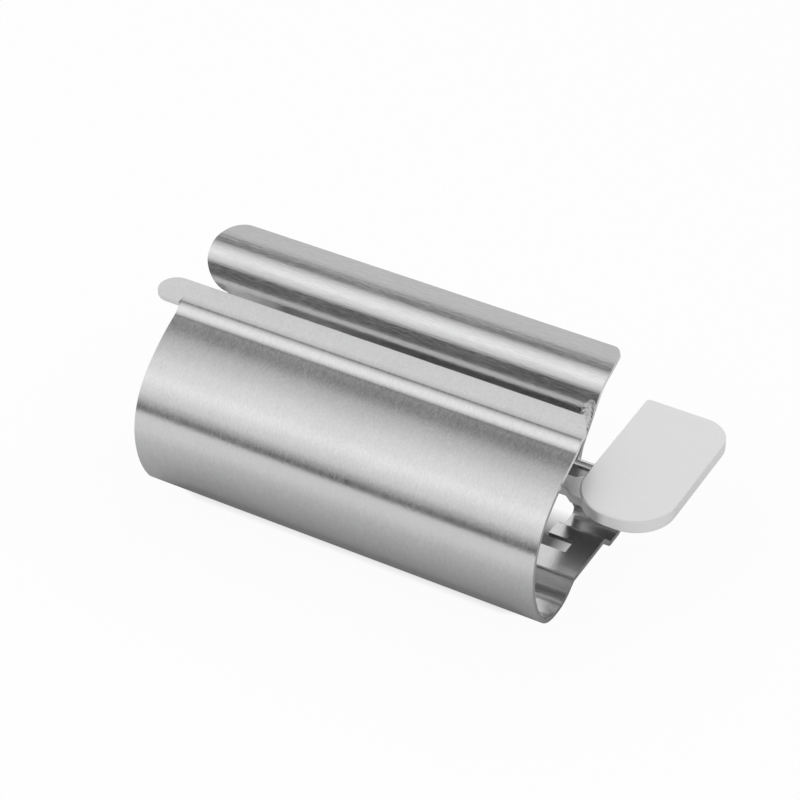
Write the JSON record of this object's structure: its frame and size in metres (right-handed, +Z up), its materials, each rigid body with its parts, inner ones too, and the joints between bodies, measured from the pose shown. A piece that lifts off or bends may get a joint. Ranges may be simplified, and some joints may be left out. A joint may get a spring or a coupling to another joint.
{
  "type": "tube squeezer",
  "caption": "Table-top tube squeezer in bent brushed sheet: round belly, flat lip, flared jaw with a feed slot between them, and a flat slotted key with a paddle.",
  "frame": {"origin": "middle of the flat line that the belly stands on, at mid-length of the body, on the table", "axes": "+Z up, +X along the body towards the paddle, +Y to the rear where the jaw flares; the lip and belly face -Y"},
  "size_m": [0.1164, 0.0468, 0.0464],
  "materials": {
    "body_sheet": "brushed across the length",
    "jaw_sheet": "brushed along the length",
    "key_plate": "fine satin",
    "weld_metal": "rough weld"
  },
  "bodies": {
    "stand": {"body_shell": "body_sheet", "rear_jaw": "jaw_sheet", "end_weld": "weld_metal"},
    "key": {"winding_key": "key_plate"}
  },
  "joints": [
    {"name": "key_turn", "type": "hinge", "parent": "stand", "child": "key", "pos_m": [0.0557, 0.00549, 0.02785], "axis": [1, 0, 0], "continuous": true}
  ]
}
